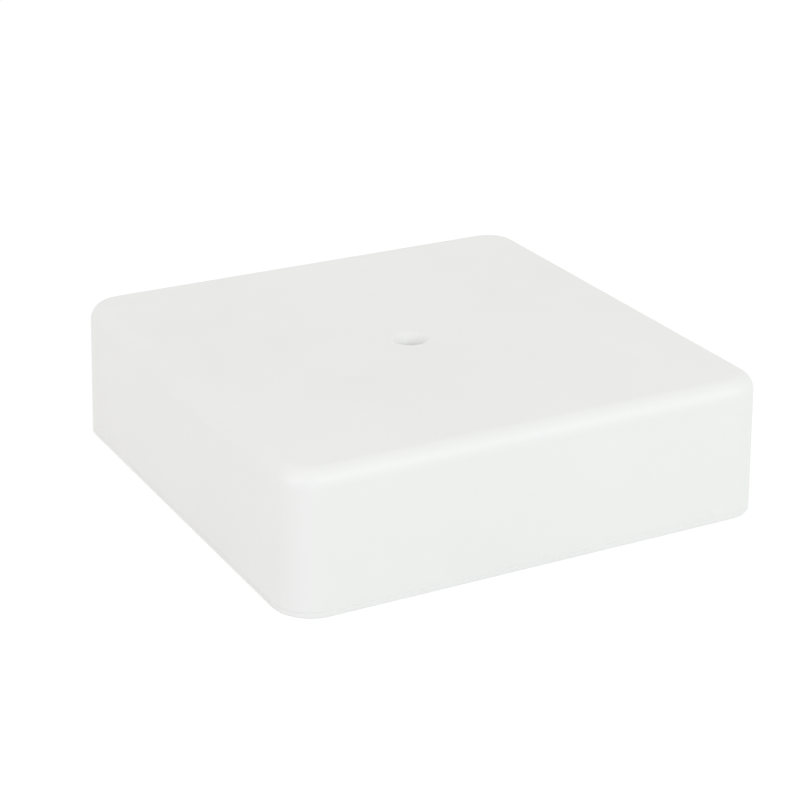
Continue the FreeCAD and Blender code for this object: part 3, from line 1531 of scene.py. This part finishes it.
@dataclass(frozen=True)
class Studio:
    """Pale floor, even sky and soft lights.

    Attributes:
        lights: the lights.
        sky: strength of the sky's light.
        sky_colour: colour of the sky's light.
        floor_side: side of the floor, in metres.
        floor_colour: colour of the floor.
        floor_lift: share of the floor's look that is plain white.
        floor_white: strength of that white.
    """

    lights: tuple[SoftBox, ...] = (KEY_LIGHT, LEFT_LIGHT)
    sky: float = 0.804
    sky_colour: Triple = (1.0, 0.991, 0.963)
    floor_side: float = 6.0
    floor_colour: Triple = (0.88, 0.88, 0.88)
    floor_lift: float = 0.65
    floor_white: float = 1.17

    def show(self, sheet: NodeSheet, light: Node, look: Node, lift: float, output: str) -> None:
        """Parts how a surface lights the box from how it looks.

        Args:
            sheet: nodes of the material or the world.
            light: shader that lights the box.
            look: shader that the camera, mirrors and glass see.
            lift: share of that shader in the look.
            output: type of the output node.
        """
        path = sheet.add("ShaderNodeLightPath").outputs
        mirrored = sheet.math("MAXIMUM", path["Is Glossy Ray"], path["Is Transmission Ray"])
        seen = sheet.math("MAXIMUM", path["Is Camera Ray"], mirrored)
        share = sheet.math("MULTIPLY", seen, lift)
        mix = sheet.add("ShaderNodeMixShader", {0: share, 1: light.outputs[0], 2: look.outputs[0]})
        sheet.add(output, {"Surface": mix.outputs[0]})

    def floor(self) -> None:
        """Lays a floor that looks white and keeps the box's shadow."""
        material = bpy.data.materials.new("studio_floor")
        material.use_nodes = True
        material.node_tree.nodes.clear()
        sheet = NodeSheet(material.node_tree)
        paper = sheet.add("ShaderNodeBsdfDiffuse", {"Color": (*self.floor_colour, 1)})
        glow = sheet.add("ShaderNodeEmission", {"Strength": self.floor_white})
        self.show(sheet, paper, glow, self.floor_lift, "ShaderNodeOutputMaterial")
        half = self.floor_side / 2
        corners = [(-half, -half, 0), (half, -half, 0), (half, half, 0), (-half, half, 0)]
        mesh = bpy.data.meshes.new("studio_floor")
        mesh.from_pydata(corners, [], [(0, 1, 2, 3)])
        mesh.materials.append(material)
        put("studio_floor", mesh)

    def world(self) -> None:
        """Sets an even sky that looks white."""
        world = bpy.data.worlds.new("studio_sky")
        world.use_nodes = True
        world.node_tree.nodes.clear()
        sheet = NodeSheet(world.node_tree)
        light = sheet.add("ShaderNodeBackground", {"Strength": self.sky, "Color": (*self.sky_colour, 1)})
        white = sheet.add("ShaderNodeBackground", {"Strength": 1.0, "Color": (1, 1, 1, 1)})
        self.show(sheet, light, white, 1.0, "ShaderNodeOutputWorld")
        bpy.context.scene.world = world

    def place(self, target: Vector) -> None:
        """Sets up the floor, the sky and the lights.

        Args:
            target: the point that the lights face.
        """
        self.floor()
        self.world()
        for light in self.lights:
            light.place(target)


@dataclass(frozen=True)
class PhotoCamera:
    """Camera at the photograph's viewing angle.

    Attributes:
        azimuth: turn about the box's axis, from the front.
        elevation: angle above the floor.
        roll: turn about the line of sight.
        distance: distance from the box's middle, in metres.
        sidestep: shift to the left, in metres.
        rise: shift upwards, in metres.
        lens: focal length in millimetres.
        sensor: width of the sensor in millimetres.
        nearest: nearest distance that it sees, in metres.
    """

    azimuth: float = math.radians(-28.304)
    elevation: float = math.radians(22.733)
    roll: float = 0.0078
    distance: float = 0.35858
    sidestep: float = 0.00154
    rise: float = 0.00011
    lens: float = 102.64
    sensor: float = 36.0
    nearest: float = 0.01

    def place(self, target: Vector) -> None:
        """Sets up the camera and makes it the scene's own.

        Args:
            target: the point that its place is measured from.
        """
        level = math.cos(self.elevation)
        sine = math.sin(self.azimuth)
        cosine = math.cos(self.azimuth)
        back = Vector((sine * level, -cosine * level, math.sin(self.elevation)))
        right = Matrix.Rotation(self.roll, 3, back) @ Vector((cosine, sine, 0))
        up = back.cross(right)
        data = bpy.data.cameras.new("photo_camera")
        data.lens = self.lens
        data.sensor_width = self.sensor
        data.clip_start = self.nearest
        pose = Matrix((right, up, back)).transposed().to_4x4()
        pose.translation = target + back * self.distance - right * self.sidestep + up * self.rise
        camera = put("photo_camera", data)
        camera.matrix_world = pose
        bpy.context.scene.camera = camera


def mount(name: str) -> dict:
    """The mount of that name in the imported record."""
    return next(row for row in frame["record"]["mounts"] if row["name"] == name)


def node_box(node: str) -> tuple[Vector, Vector]:
    """Lowest and highest corner of a CAD node in millimetres."""
    low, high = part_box(node)
    return low / MM, high / MM


def pieces() -> Iterable[Piece]:
    """Sizes up the pieces of the box from the frame.

    Yields:
        Every piece, in the order in which they are built.
    """
    workshop = Workshop()
    _, base_high = node_box("base")
    cover_low, cover_high = node_box("cover")
    block_low, block_high = node_box("terminal_earth")
    walls = Walls(half_side=base_high.x, lip_z=cover_low.z)
    fixings = mount("wall_fixings")["dims"]
    rear = [mount("rear_entry_" + side)["pos_m"] for side in ("front", "back")]
    yield Base(
        "base",
        "base",
        WHITE_PLASTIC,
        workshop,
        walls=walls,
        floor_z=block_low.z,
        post_top_z=base_high.z,
        terminal_half=(block_high.x - block_low.x) / 2,
        terminal_centre=(block_high.x + block_low.x) / 2,
        slot_spacing=(fixings["spacing_x_mm"], fixings["spacing_y_mm"]),
        slot_length=fixings["slot_length_mm"],
        slot_radius=fixings["hole_r_mm"],
        rear_entries=tuple((place[0] / MM, place[1] / MM) for place in rear),
    )
    for conductor in Conductor:
        terminal = "terminal_" + conductor.value
        low, high = node_box(terminal)
        way = mount("wire_way_" + conductor.value)
        yield Terminal(
            terminal,
            "base",
            BRASS,
            workshop,
            low=low,
            high=high,
            wire_way_radius=way["dims"]["r_mm"],
            wire_way_z=way["pos_m"][2] / MM,
        )
        screw = "clamp_screw_" + conductor.value
        low, high = node_box(screw)
        yield ClampScrew(screw, screw, ZINC_PLATE, workshop, low=low, high=high)
    yield Cover("cover", "cover", WHITE_PLASTIC, workshop, walls=walls, top_z=cover_high.z)


def main() -> None:
    """Builds the box, its studio and its camera, and notes the sizes."""
    logging.basicConfig(level=logging.INFO, format="%(message)s")
    bpy.context.scene.view_settings.view_transform = "Standard"
    for piece in pieces():
        obj = piece.place()
        LOG.info("%s: %d faces on %s", obj.name, len(obj.data.polygons), piece.body)
    middle = (cad_box[0] + cad_box[1]) / 2
    Studio().place(middle)
    PhotoCamera().place(middle)


if __name__ == "__main__":
    main()
